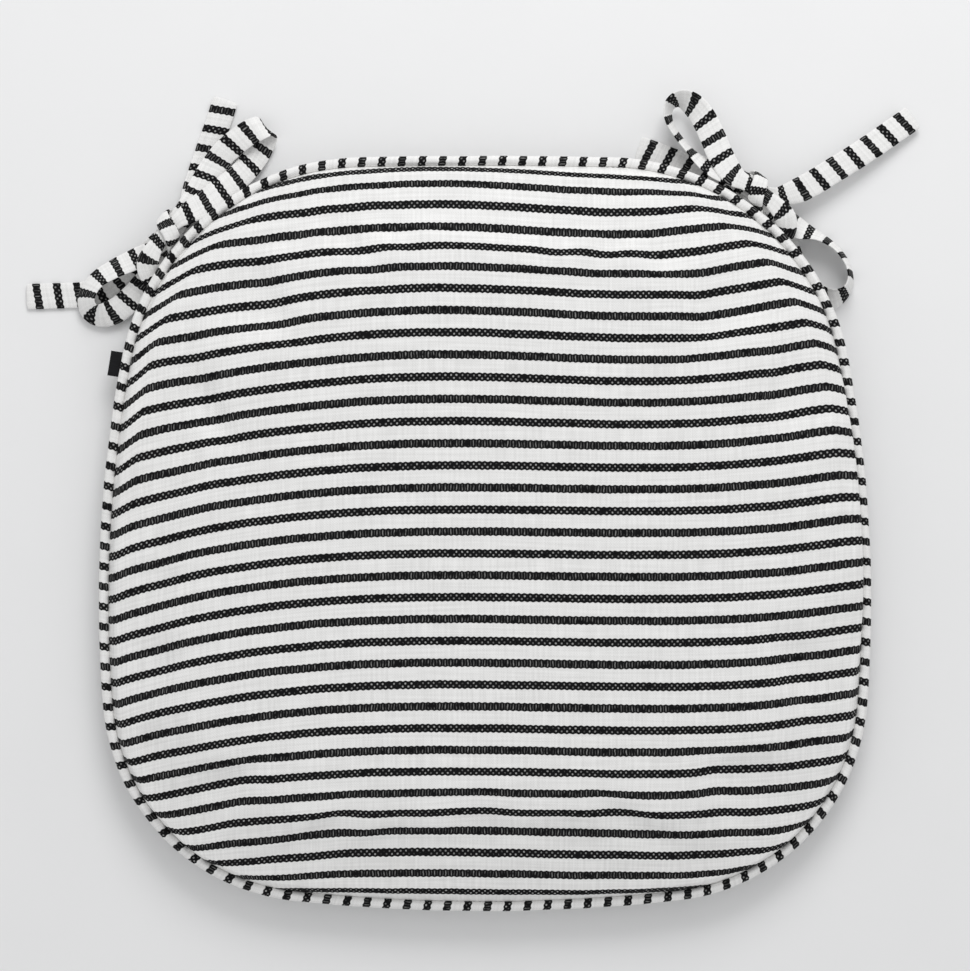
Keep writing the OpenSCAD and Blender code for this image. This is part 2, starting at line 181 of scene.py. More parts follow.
left_upper = root_upper + [
    (0.014, -0.002, 0.017, 90, 0, 0.9), (0.025, -0.0044, 0.0146, 94, 0, 1),
    (0.036, -0.006, 0.0106, 94, 0, 1), (0.046, -0.0069, 0.0064, 92, 0, 1),
    (0.055, -0.0064, 0.0038, 90, 0, 1), (0.0635, -0.0046, 0.0025, 88, 0, 1),
    (0.07, -0.0022, 0.0033, 86, 0, 1), (0.0724, -0.0002, 0.006, 86, 0, 1),
    (0.069, 0.0026, 0.0086, 86, 0, 1), (0.061, 0.0052, 0.0088, 88, 0, 1),
    (0.052, 0.0068, 0.0078, 90, 0, 1), (0.043, 0.007, 0.0066, 92, 0, 1),
    (0.034, 0.0056, 0.0072, 94, 0, 1), (0.025, 0.0032, 0.01, 96, 0, 1),
    (0.014, 0.0022, 0.0138, 92, 0, 0.7), (0.006, 0.003, 0.0145, 90, 0, 0.42),
    (0, 0.0031, 0.0134, 90, 0, 0.4), (-0.006, 0.003, 0.012, 90, 0, 0.42),
    (-0.014, 0.0028, 0.0077, 90, 0, 0.66), (-0.022, 0.0024, 0.0046, 88, 0, 0.95),
    (-0.032, 0.003, 0.0028, 80, 0, 1), (-0.044, 0.006, 0.0015, 65, 0, 1),
    (-0.056, 0.013, 0.0015, 50, 0, 1), (-0.066, 0.023, 0.0015, 45, 0, 1),
    (-0.077, 0.0345, 0.0015, 45, 0, 1),
]
left_lower = root_lower + [
    (-0.03, -0.008, 0.0078, 90, -4, 1), (-0.04, -0.0076, 0.0062, 88, 0, 1),
    (-0.049, -0.0064, 0.0056, 80, 6, 1), (-0.0565, -0.003, 0.006, 52, 24, 1),
    (-0.06, 0.003, 0.007, 0, 38, 1), (-0.0565, 0.0094, 0.0086, -60, 42, 1),
    (-0.047, 0.012, 0.0094, -98, 42, 1), (-0.036, 0.0092, 0.01, -112, 38, 1),
    (-0.025, 0.0044, 0.0114, -112, 26, 0.95), (-0.0145, 0, 0.0138, -105, 8, 0.7),
    (-0.006, -0.003, 0.0145, -90, 0, 0.42), (0, -0.0031, 0.0134, -90, 0, 0.4),
    (0.006, -0.003, 0.012, -90, 0, 0.42), (0.013, -0.0006, 0.0096, -70, 0, 0.7),
    (0.02, 0.004, 0.0068, -64, 0, 0.9), (0.03, 0.0086, 0.0034, -65, 0, 1),
    (0.041, 0.0136, 0.0015, -66, 0, 1), (0.055, 0.0194, 0.0015, -66, 0, 1),
    (0.07, 0.026, 0.0015, -66, 0, 1),
]
right_upper = root_upper + [
    (0.015, 0, 0.0168, 110, 0, 0.9), (0.025, 0.0046, 0.0146, 122, 0, 1),
    (0.035, 0.011, 0.0124, 122, 8, 1), (0.045, 0.0166, 0.0106, 116, 18, 1),
    (0.054, 0.0188, 0.0094, 96, 35, 1), (0.0605, 0.0166, 0.0088, 45, 58, 1),
    (0.062, 0.0106, 0.0084, -8, 66, 1), (0.0576, 0.0048, 0.0082, -50, 70, 1),
    (0.049, 0.0008, 0.0082, -66, 72, 1), (0.038, -0.0022, 0.01, -74, 68, 1),
    (0.027, -0.003, 0.0126, -84, 45, 1), (0.016, -0.001, 0.0142, -96, 16, 0.8),
    (0.007, 0.003, 0.0145, -90, 0, 0.42), (0, 0.0031, 0.0134, -90, 0, 0.4),
    (-0.006, 0.0034, 0.012, -95, 0, 0.42), (-0.012, 0.006, 0.011, -120, 0, 0.7),
    (-0.017, 0.0114, 0.0104, -140, 0, 0.95), (-0.022, 0.02, 0.01, -152, 0, 1),
    (-0.028, 0.034, 0.009, -157, 0, 1), (-0.034, 0.048, 0.0076, -158, 0, 1),
    (-0.04, 0.064, 0.0056, -160, 0, 1), (-0.046, 0.0805, 0.0034, -160, 0, 1),
]
right_lower = root_lower + [
    (-0.031, -0.014, 0.0052, 104, -2, 1), (-0.041, -0.02, 0.0024, 110, 0, 1),
    (-0.05, -0.0246, 0.0016, 112, 0, 1), (-0.0585, -0.0256, 0.003, 96, 10, 1),
    (-0.0655, -0.022, 0.0058, 56, 38, 1), (-0.069, -0.0145, 0.0076, 10, 66, 1),
    (-0.0664, -0.007, 0.008, -36, 74, 1), (-0.059, -0.0016, 0.0082, -62, 74, 1),
    (-0.049, 0.0008, 0.0084, -82, 72, 1), (-0.039, 0, 0.0086, -98, 62, 1),
    (-0.03, -0.0024, 0.009, -102, 30, 1), (-0.021, -0.0034, 0.0112, -98, 4, 0.88),
    (-0.014, -0.0026, 0.0134, -92, 0, 0.64), (-0.006, -0.003, 0.0145, -90, 0, 0.42),
    (0, -0.0031, 0.0134, -90, 0, 0.4), (0.006, -0.003, 0.012, -90, 0, 0.42),
    (0.014, -0.0026, 0.0096, -95, 0, 0.7), (0.024, -0.0058, 0.0052, -102, 0, 1),
    (0.034, -0.0082, 0.0026, -104, 0, 1), (0.044, -0.0104, 0.0015, -104, 0, 1),
    (0.054, -0.013, 0.0015, -105, 0, 1), (0.063, -0.0156, 0.0015, -106, 0, 1),
]
knot_reach = 0.135
bow_corner = {"left": ((-0.063135, 0.067707), 138), "right": ((0.063135, 0.067707), 55)}


def bow_frame(side):
    (x, y), angle = bow_corner[side]
    away = Vector((math.cos(math.radians(angle)), math.sin(math.radians(angle)), 0))
    along = Vector((away.y, -away.x, 0)) * (1 if side == "left" else -1)
    return Vector((x, y, 0)) + away * knot_reach, along, away, Vector((0, 0, 1))


def smooth_row(rows, place):
    """The row at a place between the given ones, on one smooth curve."""
    i = min(int(place), len(rows) - 2)
    t = place - i
    a, b, c, d = (rows[min(max(k, 0), len(rows) - 1)] for k in (i - 1, i, i + 1, i + 2))
    return [
        0.5 * (2 * q + (r - p) * t + (2 * p - 5 * q + 4 * r - s) * t * t + (3 * q - p - 3 * r + s) * t ** 3)
        for p, q, r, s in zip(a, b, c, d)
    ]


def tie_stations(side, rows, step):
    """Evenly spaced stations: the point, the way across the strap, its share of the width and the run."""
    origin, along, away, up = bow_frame(side)
    fine = [smooth_row(rows, k / 24) for k in range(24 * (len(rows) - 1) + 1)]
    points = [origin + along * r[0] + away * r[1] + up * r[2] for r in fine]
    runs = [0.0]
    for p, q in zip(points, points[1:]):
        runs.append(runs[-1] + (q - p).length)
    count = round(runs[-1] / step)
    stations = []
    k = 0
    for n in range(count + 1):
        run = runs[-1] * n / count
        while k < len(runs) - 2 and runs[k + 1] < run:
            k += 1
        t = (run - runs[k]) / max(runs[k + 1] - runs[k], 1e-9)
        row = [p + (q - p) * t for p, q in zip(fine[k], fine[k + 1])]
        heading, lean = math.radians(row[3]), math.radians(row[4])
        across = (
            along * math.cos(heading) * math.cos(lean)
            + away * math.sin(heading) * math.cos(lean)
            + up * math.sin(lean)
        )
        stations.append((points[k].lerp(points[k + 1], t), across, row[5], run))
    return stations


def striped_weave(name, pitch, width, first):
    """Basket-woven cloth: the first UV axis runs along the black stripes, the second across them."""
    finish, shader = new_finish(name, 0.92)
    shader.inputs["Sheen Weight"].default_value = 0.03
    shader.inputs["Sheen Roughness"].default_value = 0.5
    shader.inputs["Specular IOR Level"].default_value = 0.1
    tree = finish.node_tree
    cloth = tree.nodes.new("ShaderNodeUVMap")
    cloth.uv_map = "cloth"
    place = cloth.outputs[0]
    axes = tree.nodes.new("ShaderNodeSeparateXYZ")
    tree.links.new(place, axes.inputs[0])
    drift = maths(tree, "MULTIPLY", maths(tree, "SUBTRACT", grain(tree, place, 0.018), 0.5), 0.0007)
    jitter = maths(tree, "MULTIPLY", maths(tree, "SUBTRACT", grain(tree, place, 0.0034), 0.5), 0.0013)
    along = maths(tree, "ADD", axes.outputs[0], jitter)
    across = maths(tree, "ADD", axes.outputs[1], drift)
    count = maths(tree, "DIVIDE", maths(tree, "SUBTRACT", across, first), pitch)
    nearest = maths(tree, "FLOOR", maths(tree, "ADD", count, 0.5))
    off = maths(tree, "MULTIPLY", maths(tree, "SUBTRACT", count, nearest), pitch)
    odd = maths(tree, "PINGPONG", nearest, 1)
    side = maths(tree, "SIGN", off)
    distance = maths(tree, "ABSOLUTE", off)
    loop_pitch, loop_depth, thread_blur = 0.0029, 0.0002, 0.00012
    turn = 2 * math.pi / loop_pitch
    scallop = maths(tree, "COSINE", maths(tree, "MULTIPLY", along, turn))
    lean = maths(tree, "ADD", maths(tree, "MULTIPLY", odd, maths(tree, "SUBTRACT", side, 1)), 1)
    edge = maths(tree, "MULTIPLY_ADD", maths(tree, "MULTIPLY", scallop, lean), loop_depth, width / 2)
    black = clamped(tree, maths(tree, "SUBTRACT", edge, distance), -thread_blur, thread_blur)

    fleck_row = 0.003
    row = maths(tree, "SINE", maths(tree, "MULTIPLY", off, 2 * math.pi / fleck_row))
    thread = clamped(tree, grain(tree, place, 0.0036, 1), 0.34, 0.62)
    twice = maths(tree, "COSINE", maths(tree, "MULTIPLY", along, 2 * turn))
    slit = maths(
        tree, "MULTIPLY",
        clamped(tree, maths(tree, "MULTIPLY_ADD", scallop, 0.25, twice), 0.35, 1.15),
        clamped(tree, distance, 0.0018, 0.0010),
    )
    speck = clamped(tree, maths(tree, "MULTIPLY", scallop, row), 0.36, 0.85)
    even = maths(tree, "SUBTRACT", 1, odd)
    fleck = maths(tree, "ADD", maths(tree, "MULTIPLY", even, maths(tree, "MULTIPLY", slit, 0.6)),
                  maths(tree, "MULTIPLY", odd, speck))
    fleck = maths(tree, "MULTIPLY", fleck, thread)
    black_yarn = blended(tree, fleck, (0.0065, 0.0065, 0.0072), (0.42, 0.42, 0.41))

    rib = 0.0013
    warp = maths(tree, "COSINE", maths(tree, "MULTIPLY", along, 2 * math.pi / rib))
    weft = maths(tree, "COSINE", maths(tree, "MULTIPLY", across, 2 * math.pi / rib))
    plain = maths(tree, "MULTIPLY", warp, weft)
    slub_size = 0.004
    warp_slub = grain(tree, place, slub_size, 2, (3, 0.12, 1))
    slub = maths(tree, "ADD", warp_slub, grain(tree, place, slub_size, 2, (0.12, 3, 1)))
    shade = maths(tree, "MULTIPLY_ADD", plain, 0.12, slub)
    white_yarn = blended(tree, clamped(tree, shade, 0.7, 1.3), (0.78, 0.775, 0.765), (0.93, 0.925, 0.915))
    tree.links.new(blended(tree, black, white_yarn, black_yarn), shader.inputs["Base Color"])

    white_height = maths(tree, "MULTIPLY_ADD", plain, 0.22, maths(tree, "MULTIPLY", slub, 0.5))
    black_height = maths(tree, "MULTIPLY_ADD", maths(tree, "MULTIPLY", scallop, row), -0.35, 0.9)
    height = maths(tree, "ADD", maths(tree, "MULTIPLY", black, black_height),
                   maths(tree, "MULTIPLY", maths(tree, "SUBTRACT", 1, black), white_height))
    raised(tree, shader, height, 0.00022, 0.8)
    return finish


def tie_form(stations, end_run):
    """A soft flat tube round the route, gathered where it is narrow and closed at both ends."""
    form = bmesh.new()
    layer = form.loops.layers.uv.new("cloth")
    sides = 20
    rings = []
    facts = {}
    for n, (point, across, share, run) in enumerate(stations):
        before = stations[max(n - 1, 0)][0]
        after = stations[min(n + 1, len(stations) - 1)][0]
        ahead = (after - before).normalized()
        flat = (across - ahead * across.dot(ahead)).normalized()
        face = ahead.cross(flat)
        half = tie_width * share / 2
        gather = 1 - share
        close = min(1.0, (0.0011 + min(run, end_run - run)) / 0.0024)
        ring = []
        for k in range(sides):
            a = 2 * math.pi * k / sides
            w = math.copysign(abs(math.cos(a)) ** 0.72, math.cos(a))
            puff = tie_thickness / 2 * (0.82 + 0.2 * noise.noise(point * 120 + flat * w * 0.9))
            crease = 1 + 0.22 * gather * math.cos(5 * a)
            fold = puff * (1 + 0.5 * gather) * crease
            h = math.copysign(abs(math.sin(a)) ** 0.8, math.sin(a)) * fold
            waver = 0.00018 * noise.noise(point * 260 + Vector((0, 0, 3)))
            vert = form.verts.new(point + flat * (w * half + waver) + face * h * close)
            facts[vert] = (w * tie_width / 2, run)
            ring.append(vert)
        rings.append(ring)
    for ring, following in zip(rings, rings[1:]):
        for k in range(sides):
            j = (k + 1) % sides
            form.faces.new((ring[k], ring[j], following[j], following[k]))
    form.faces.new(rings[0])
    form.faces.new(rings[-1])
    bmesh.ops.recalc_face_normals(form, faces=form.faces)
    for quad in form.faces:
        for corner in quad.loops:
            across, run = facts[corner.vert]
            corner[layer].uv = (across, end_run - run + 0.14 * across)
    return form


tie_step = 0.0014
tie_cloth = striped_weave("tie cloth", 0.0108, 0.0040, 0.0062)
for side, level, rows in (
    ("left", "upper", left_upper), ("left", "lower", left_lower),
    ("right", "upper", right_upper), ("right", "lower", right_lower),
):
    stations = tie_stations(side, rows, tie_step)
    length = stations[-1][3]
    tie = to_object(f"{side}_{level}_tie", tie_form(stations, length), tie_cloth)
    soften = tie.modifiers.new("soften", "SUBSURF")
    soften.levels = soften.render_levels = 1
    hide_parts(f"{side}_tie_{level}")
    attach(tie, f"{side}_bow")

# ---------------------------------------------------------------- the cover
# Heavy striped cotton in three panels: a crowned top, and an underside cut in two
# along the zip. All three are sewn together at the piping, which holds the outline,
# and the wadding inside pushes them out.
pad_width, pad_depth = 0.401, 0.392
piping_width = 0.0052
half_width = (pad_width - piping_width) / 2
half_depth = (pad_depth - piping_width) / 2


def circles_meet(a, ra, b, rb, hint):
    """Where two circles cross, on the side that the hint points to."""
    d = (b - a).length
    along = (ra * ra - rb * rb + d * d) / (2 * d)
    off = math.sqrt(max(0, ra * ra - along * along))
    step = (b - a) / d
    normal = Vector((-step.y, step.x))
    return a + step * along + normal * (off if normal.dot(Vector(hint)) > 0 else -off)


def bearing(a, b):
    return math.atan2(b.y - a.y, b.x - a.x)


back_radius, side_radius, front_radius = 3.0, 0.67, 0.915
back_corner, front_corner = 0.125, 0.108
back_middle = Vector((0, half_depth - back_radius))
side_middle = Vector((half_width - side_radius, -0.035))
front_middle = Vector((0, front_radius - half_depth))
back_turn = circles_meet(
    back_middle, back_radius - back_corner, side_middle, side_radius - back_corner, (1, 1),
)
front_turn = circles_meet(
    front_middle, front_radius - front_corner, side_middle, side_radius - front_corner, (1, -1),
)
right_arcs = (
    (front_middle, front_radius, -math.pi / 2, bearing(front_middle, front_turn)),
    (front_turn, front_corner, bearing(front_middle, front_turn), bearing(side_middle, front_turn)),
    (side_middle, side_radius, bearing(side_middle, front_turn), bearing(side_middle, back_turn)),
    (back_turn, back_corner, bearing(side_middle, back_turn), bearing(back_middle, back_turn)),
    (back_middle, back_radius, bearing(back_middle, back_turn), math.pi / 2),
)


def outline(inset, steps=60):
    right = []
    for middle, radius, first, last in right_arcs:
        for k in range(steps):
            a = first + (last - first) * k / steps
            right.append(middle + Vector((math.cos(a), math.sin(a))) * (radius - inset))
    top = [Vector((0, half_depth - inset))]
    left = [Vector((-p.x, p.y)) for p in reversed(right[1:])]
    return right + top + left


class Reach:
    """How far the cover's edge is from the middle, by bearing."""

    def __init__(self, inset):
        ring = sorted((math.atan2(p.y, p.x), p.length) for p in outline(inset))
        before = (ring[-1][0] - 2 * math.pi, ring[-1][1])
        after = (ring[0][0] + 2 * math.pi, ring[0][1])
        self.ring = [before] + ring + [after]
        self.angles = [a for a, r in self.ring]

    def at(self, angle):
        k = min(max(bisect(self.angles, angle), 1), len(self.ring) - 1)
        (a, r), (b, s) = self.ring[k - 1], self.ring[k]
        return r + (s - r) * (angle - a) / (b - a)


cover_inset = 0.0023
edge_reach = Reach(cover_inset)
top_rise = 0.0195
seam_height = 0.018


def share_at(x, y):
    return math.hypot(x, y) / edge_reach.at(math.atan2(y, x))


def toward(x, y, bearing_at, spread):
    """1 on the given bearing from the middle, fading to 0 either side of it."""
    off = (math.degrees(math.atan2(y, x)) - bearing_at + 180) % 360 - 180
    return math.exp(-((off / spread) ** 2))


def crown(x, y):
    """The stuffed top: level in the middle, with a leaning flank beside the two bows."""
    right, left = toward(x, y, 46, 28), toward(x, y, 144, 30)
    power, root = 7 + 7 * right + 2 * left, 2.3 - 0.9 * max(right, left)
    return seam_height + 0.0002 + top_rise * (1 - min(share_at(x, y), 1) ** power) ** (1 / root)


def bowl(x, y):
    """The underside: flat where it lies, and turned up to the seam at its edge."""
    e = min(1.0, max(0.0, (share_at(x, y) - 0.86) / 0.14))
    return seam_height - 0.0002 - (seam_height - 0.0006) * math.sqrt(1 - e * e)


def cloth_run(x, y, height):
    """How far along the surface a point is from the middle, along x and along y."""
    runs = []
    for a, b, spot in ((0, x, lambda t: (t, y)), (0, y, lambda t: (x, t))):
        run, last = 0.0, None
        for k in range(33):
            e = math.sin(k / 32 * math.pi / 2)
            t = a + (b - a) * e
            here = (t, height(*spot(t)))
            if last:
                run += math.hypot(here[0] - last[0], here[1] - last[1])
            last = here
        runs.append(math.copysign(run, b - a))
    return runs


def stripe_wave(x, y):
    """How far the weave is dragged off its straight line, most of all round the two back corners.

    The amounts are in millimetres, and the result is in metres.
    """
    t, s = x / 0.2, share_at(x, y)
    ridge = 0.95
    drag = (max(0, s - 0.5) / (ridge - 0.5)) ** 2 if s < ridge else 1 - 1.25 * (s - ridge) / (1 - ridge)
    corners = 4.2 * toward(x, y, 40, 30) + 4.6 * toward(x, y, 146, 30)
    hump, dip = math.exp(-(((x + 0.037) / 0.062) ** 2)), math.exp(-(((x - 0.085) / 0.052) ** 2))
    back = 3.4 * (hump - dip) * (max(0, y) / 0.175) ** 1.4
    bow = -1.1 * t - 9.3 * t * t + 18.2 * t ** 3 + 2.4 * t * y / 0.19
    return (bow + corners * drag + back) / 1000


cover_form = bmesh.new()
cover_grid = 96
bmesh.ops.create_grid(cover_form, x_segments=cover_grid, y_segments=cover_grid, size=1)
crowded = 0.2
for vert in cover_form.verts:
    a, b = vert.co.x, vert.co.y
    x, y = a * math.sqrt(1 - b * b / 2), b * math.sqrt(1 - a * a / 2)
    s = min(math.hypot(x, y), 1.0)
    angle = math.atan2(y, x)
    s += crowded * math.sin(math.pi * s)
    r = s * edge_reach.at(angle)
    vert.co = Vector((math.cos(angle) * r, math.sin(angle) * r, 0))
    vert.co.z = seam_height if share_at(*vert.co.xy) > 0.9995 else crown(*vert.co.xy)


def overhang(vert):
    """The stuffing leans over the piping along the right-hand side."""
    h = (vert.co.z - seam_height) / top_rise
    if vert.co.x > 0 and 0 < h < 0.8:
        reach = math.exp(-(((vert.co.y - 0.012) / 0.085) ** 4))
        vert.co.x += 0.0055 * reach * math.sin(math.pi * h / 0.8)


cloth_layer = cover_form.loops.layers.uv.new("cloth")
top_runs = {vert: cloth_run(*vert.co.xy, crown) for vert in cover_form.verts}
for face in cover_form.faces:
    for corner in face.loops:
        u, v = top_runs[corner.vert]
        corner[cloth_layer].uv = (u, v - stripe_wave(*corner.vert.co.xy))
doubled = bmesh.ops.duplicate(cover_form, geom=cover_form.verts[:] + cover_form.edges[:] + cover_form.faces[:])
under_verts = [item for item in doubled["geom"] if isinstance(item, bmesh.types.BMVert)]
under_faces = [item for item in doubled["geom"] if isinstance(item, bmesh.types.BMFace)]
for vert in under_verts:
    vert.co.z = seam_height if share_at(*vert.co.xy) > 0.9995 else bowl(*vert.co.xy)
under_runs = {vert: cloth_run(*vert.co.xy, bowl) for vert in under_verts}
for face in under_faces:
    face.material_index = 1
    for corner in face.loops:
        corner[cloth_layer].uv = under_runs[corner.vert]
bmesh.ops.reverse_faces(cover_form, faces=under_faces)
for vert in cover_form.verts:
    if vert.co.z > seam_height:
        overhang(vert)
bmesh.ops.remove_doubles(cover_form, verts=cover_form.verts, dist=1e-6)
shell = to_object("cover_shell", cover_form)
start = [v.co.copy() for v in shell.data.vertices]

held = shell.vertex_groups.new(name="held")
sewn = [v.index for v in shell.data.vertices if abs(v.co.z - seam_height) < 1e-5 or v.co.z < 0.004]
held.add(sewn, 1, "REPLACE")
swell_steps = 20
cloth = shell.modifiers.new("stuffed", "CLOTH")
cloth.settings.vertex_group_mass = "held"
cloth.settings.quality = 6
cloth.settings.mass = 0.3
cloth.settings.tension_stiffness = cloth.settings.compression_stiffness = 18
cloth.settings.shear_stiffness = 6
cloth.settings.bending_stiffness = 0.6
cloth.settings.shrink_min = -0.002
cloth.settings.use_pressure = True
cloth.settings.uniform_pressure_force = 4
cloth.settings.effector_weights.gravity = 0
cloth.collision_settings.use_collision = False
cloth.point_cache.frame_start, cloth.point_cache.frame_end = 1, swell_steps
for step in range(1, swell_steps + 1):
    bpy.context.scene.frame_set(step)
swollen = shell.evaluated_get(bpy.context.evaluated_depsgraph_get()).to_mesh()
moved = [v.co.copy() for v in swollen.vertices]
shell.modifiers.clear()
bpy.context.scene.frame_set(1)
most, foam_top, foam_share, foam_fall = 0.003, 0.0314, 0.88, 0.055
for vert, before, after in zip(shell.data.vertices, start, moved):
    shift = after - before
    vert.co = before + shift * min(1, most / max(shift.length, 1e-9))
    vert.co.z = max(vert.co.z, 0.0004)
    if before.z > seam_height + 0.002:
        foam_under = foam_top - foam_fall * max(0, share_at(*vert.co.xy) - foam_share)
        vert.co.z = max(vert.co.z, foam_under)

cover_cloth = striped_weave("cover cloth", 0.01119, 0.0042, 0.00137)


def part_of_shell(side):
    form = bmesh.new()
    form.from_mesh(shell.data)
    bmesh.ops.delete(form, geom=[f for f in form.faces if f.material_index != side], context="FACES")
    for face in form.faces:
        face.material_index = 0
    return form


top_cover = to_object("top_cover", part_of_shell(0), cover_cloth)
round_off = top_cover.modifiers.new("round off", "SUBSURF")
round_off.levels = round_off.render_levels = 1
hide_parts("top_panel")
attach(top_cover, "root")

# ---------------------------------------------------------------- the wadding
# A sheet of white polyester wadding lies right under the top cloth, between it and
# the foam, and follows the cloth's shape.
def fluffy(name, light, dark, size, depth, stretch=(1, 1, 1)):
    finish, shader = new_finish(name, 0.95)
    tree = finish.node_tree
    place = tree.nodes.new("ShaderNodeTexCoord").outputs["Object"]
    fine = grain(tree, place, size, 5, stretch)
    tree.links.new(blended(tree, fine, dark, light), shader.inputs["Base Color"])
    raised(tree, shader, fine, depth)
    return finish


wadding = fluffy("wadding", (0.93, 0.93, 0.93), (0.72, 0.72, 0.73), 0.006, 0.0012, (1, 2.5, 1))
batting_form = part_of_shell(0)
for vert in batting_form.verts:
    depth = min(0.001, max(0.0, (vert.co.z - seam_height) * 0.5))
    vert.co.z -= depth
    vert.co.xy = vert.co.xy * (1 - 0.6 * depth / max(vert.co.xy.length, 0.02))
batting = to_object("wadding_top_sheet", batting_form, wadding)
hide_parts("wadding_top")
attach(batting, "root")

# ---------------------------------------------------------------- the underside
# Two panels of the cover cloth meet in a plain seam either side of the zip, and
# their edges are folded in where it opens.
zip_line = 0.118
slot_half = 0.0045
slot_reach = 0.132
under_form = part_of_shell(1)
for place, normal in (
    ((0, zip_line, 0), (0, 1, 0)), ((0, zip_line - slot_half, 0), (0, 1, 0)),
    ((0, zip_line + slot_half, 0), (0, 1, 0)),
    ((-slot_reach, 0, 0), (1, 0, 0)), ((slot_reach, 0, 0), (1, 0, 0)),
):
    everything = under_form.verts[:] + under_form.edges[:] + under_form.faces[:]
    bmesh.ops.bisect_plane(under_form, geom=everything, plane_co=place, plane_no=normal)


def at_slot(vert):
    return abs(vert.co.y - zip_line) < slot_half + 1e-5 and abs(vert.co.x) < slot_reach + 1e-5


def in_slot(face):
    middle = face.calc_center_median()
    return abs(middle.x) < slot_reach and abs(middle.y - zip_line) < slot_half


bmesh.ops.delete(under_form, geom=[f for f in under_form.faces if in_slot(f)], context="FACES")
for vert in under_form.verts:
    if abs(vert.co.y - zip_line) < 1e-5 and abs(vert.co.x) > slot_reach + 1e-5:
        vert.co.z += 0.0007
for name, node, sign in (("underside_front", "bottom_panel", -1), ("underside_back", "bottom_back_panel", 1)):
    form = under_form.copy()
    far = [f for f in form.faces if (f.calc_center_median().y - zip_line) * sign < 0]
    bmesh.ops.delete(form, geom=far, context="FACES")
    rim = [
        e for e in form.edges
        if e.is_boundary and all(at_slot(v) for v in e.verts)
        and abs(e.verts[0].co.y - e.verts[1].co.y) < 1e-5
    ]
    for shift in ((0, -0.0004 * sign, 0.0006), (0, 0.0004 * sign, 0.0006), (0, 0.0075 * sign, 0.0002)):
        grown = bmesh.ops.extrude_edge_only(form, edges=rim)
        fresh = [g for g in grown["geom"] if isinstance(g, bmesh.types.BMVert)]
        bmesh.ops.translate(form, verts=fresh, vec=shift)
        rim = [g for g in grown["geom"] if isinstance(g, bmesh.types.BMEdge)]
    panel = to_object(name, form, cover_cloth)
    soften = panel.modifiers.new("soften", "SUBSURF")
    soften.levels = soften.render_levels = 1
    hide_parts(node)
    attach(panel, "root")
under_form.free()
bpy.data.objects.remove(shell)

# ---------------------------------------------------------------- the piping
# A strip of the same cloth cut across its stripes, folded round a cotton cord and
# caught in the seam all the way round.
piping_sides, mark_pitch = 16, 0.0104
piping_form = bmesh.new()
piping_layer = piping_form.loops.layers.uv.new("cloth")
piping_line = outline(0, 90)
piping_facts = {}
piping_rings = []
run = 0.0
count = len(piping_line)
for n, point in enumerate(piping_line):
    before, after = piping_line[n - 1], piping_line[(n + 1) % count]
    run += (point - before).length if n else 0
    ahead = (after - before).normalized()
    out = Vector((ahead.y, -ahead.x, 0))
    if out.xy.dot(point) < 0:
        out = -out
    wobble = 0.00025 * noise.noise(Vector((run * 45, 0, 0)))
    ring = []
    for k in range(piping_sides):
        a = 2 * math.pi * k / piping_sides
        pinch = 1 + 0.03 * noise.noise(Vector((run * 240, math.cos(a) * 2, math.sin(a) * 2)))
        radius = piping_width / 2 * pinch
        place = Vector((point.x, point.y, seam_height)) + out * (math.cos(a) * radius + wobble)
        place.z += math.sin(a) * radius
        vert = piping_form.verts.new(place)
        piping_facts[vert] = (a * piping_width / 2, run)
        ring.append(vert)
    piping_rings.append(ring)
round_run = run + (piping_line[0] - piping_line[-1]).length
marks = round(round_run / mark_pitch)
for n in range(count):
    ring, following = piping_rings[n], piping_rings[(n + 1) % count]
    for k in range(piping_sides):
        j = (k + 1) % piping_sides
        face = piping_form.faces.new((ring[k], following[k], following[j], ring[j]))
        for corner in face.loops:
            across, along = piping_facts[corner.vert]
            if n == count - 1 and along == 0:
                along = round_run
            if k == piping_sides - 1 and across == 0:
                across = 2 * math.pi * piping_width / 2
            bend = abs(across - math.pi * piping_width / 2)
            corner[piping_layer].uv = (across, along + 0.18 * bend)
bmesh.ops.recalc_face_normals(piping_form, faces=piping_form.faces)
piping_cloth = striped_weave("piping cloth", round_run / marks, 0.0039, 0.002)
piping = to_object("piping_tube", piping_form, piping_cloth)
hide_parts("piping_cover")
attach(piping, "root")

# ---------------------------------------------------------------- the side label
# A short loop of black satin tape, folded double and caught in the seam under the
# piping at the back left corner. Nothing is woven on it.
label_corner, label_angle = Vector(bow_corner["left"][0]), math.radians(171)
label_width, label_out, label_height = 0.0130, 0.0088, 0.0144
label_half = 0.00045
label_form = bmesh.new()
label_line = [(0, label_half)]
label_line += [(label_out * k / 6, label_half + 0.0001 * math.sin(k)) for k in range(1, 6)]
label_line += [
    (label_out - 0.0005 + 0.0005 * math.sin(a), label_half * math.cos(a)) for a in (0.3, 0.9, 1.57, 2.24, 2.84)
]
label_line += [(label_out * k / 6, -label_half) for k in range(5, -1, -1)]
label_out_way = Vector((math.cos(label_angle), math.sin(label_angle), 0))
label_along = Vector((-label_out_way.y, label_out_way.x, 0))
label_edge = [
    label_form.verts.new(
        Vector((*label_corner, label_height)) + label_out_way * (back_corner + r) + Vector((0, 0, z))
    )
    for r, z in label_line
]
label_rim = [label_form.edges.new(pair) for pair in zip(label_edge, label_edge[1:])]
bmesh.ops.translate(label_form, verts=label_edge, vec=label_along * (-label_width / 2))
for k in range(8):
    grown = bmesh.ops.extrude_edge_only(label_form, edges=label_rim)
    fresh = [g for g in grown["geom"] if isinstance(g, bmesh.types.BMVert)]
    bmesh.ops.translate(label_form, verts=fresh, vec=label_along * (label_width / 8))
    label_rim = [g for g in grown["geom"] if isinstance(g, bmesh.types.BMEdge)]
bmesh.ops.recalc_face_normals(label_form, faces=label_form.faces)
satin, satin_shader = new_finish("label satin", 0.42)
satin_shader.inputs["Specular IOR Level"].default_value = 0.12
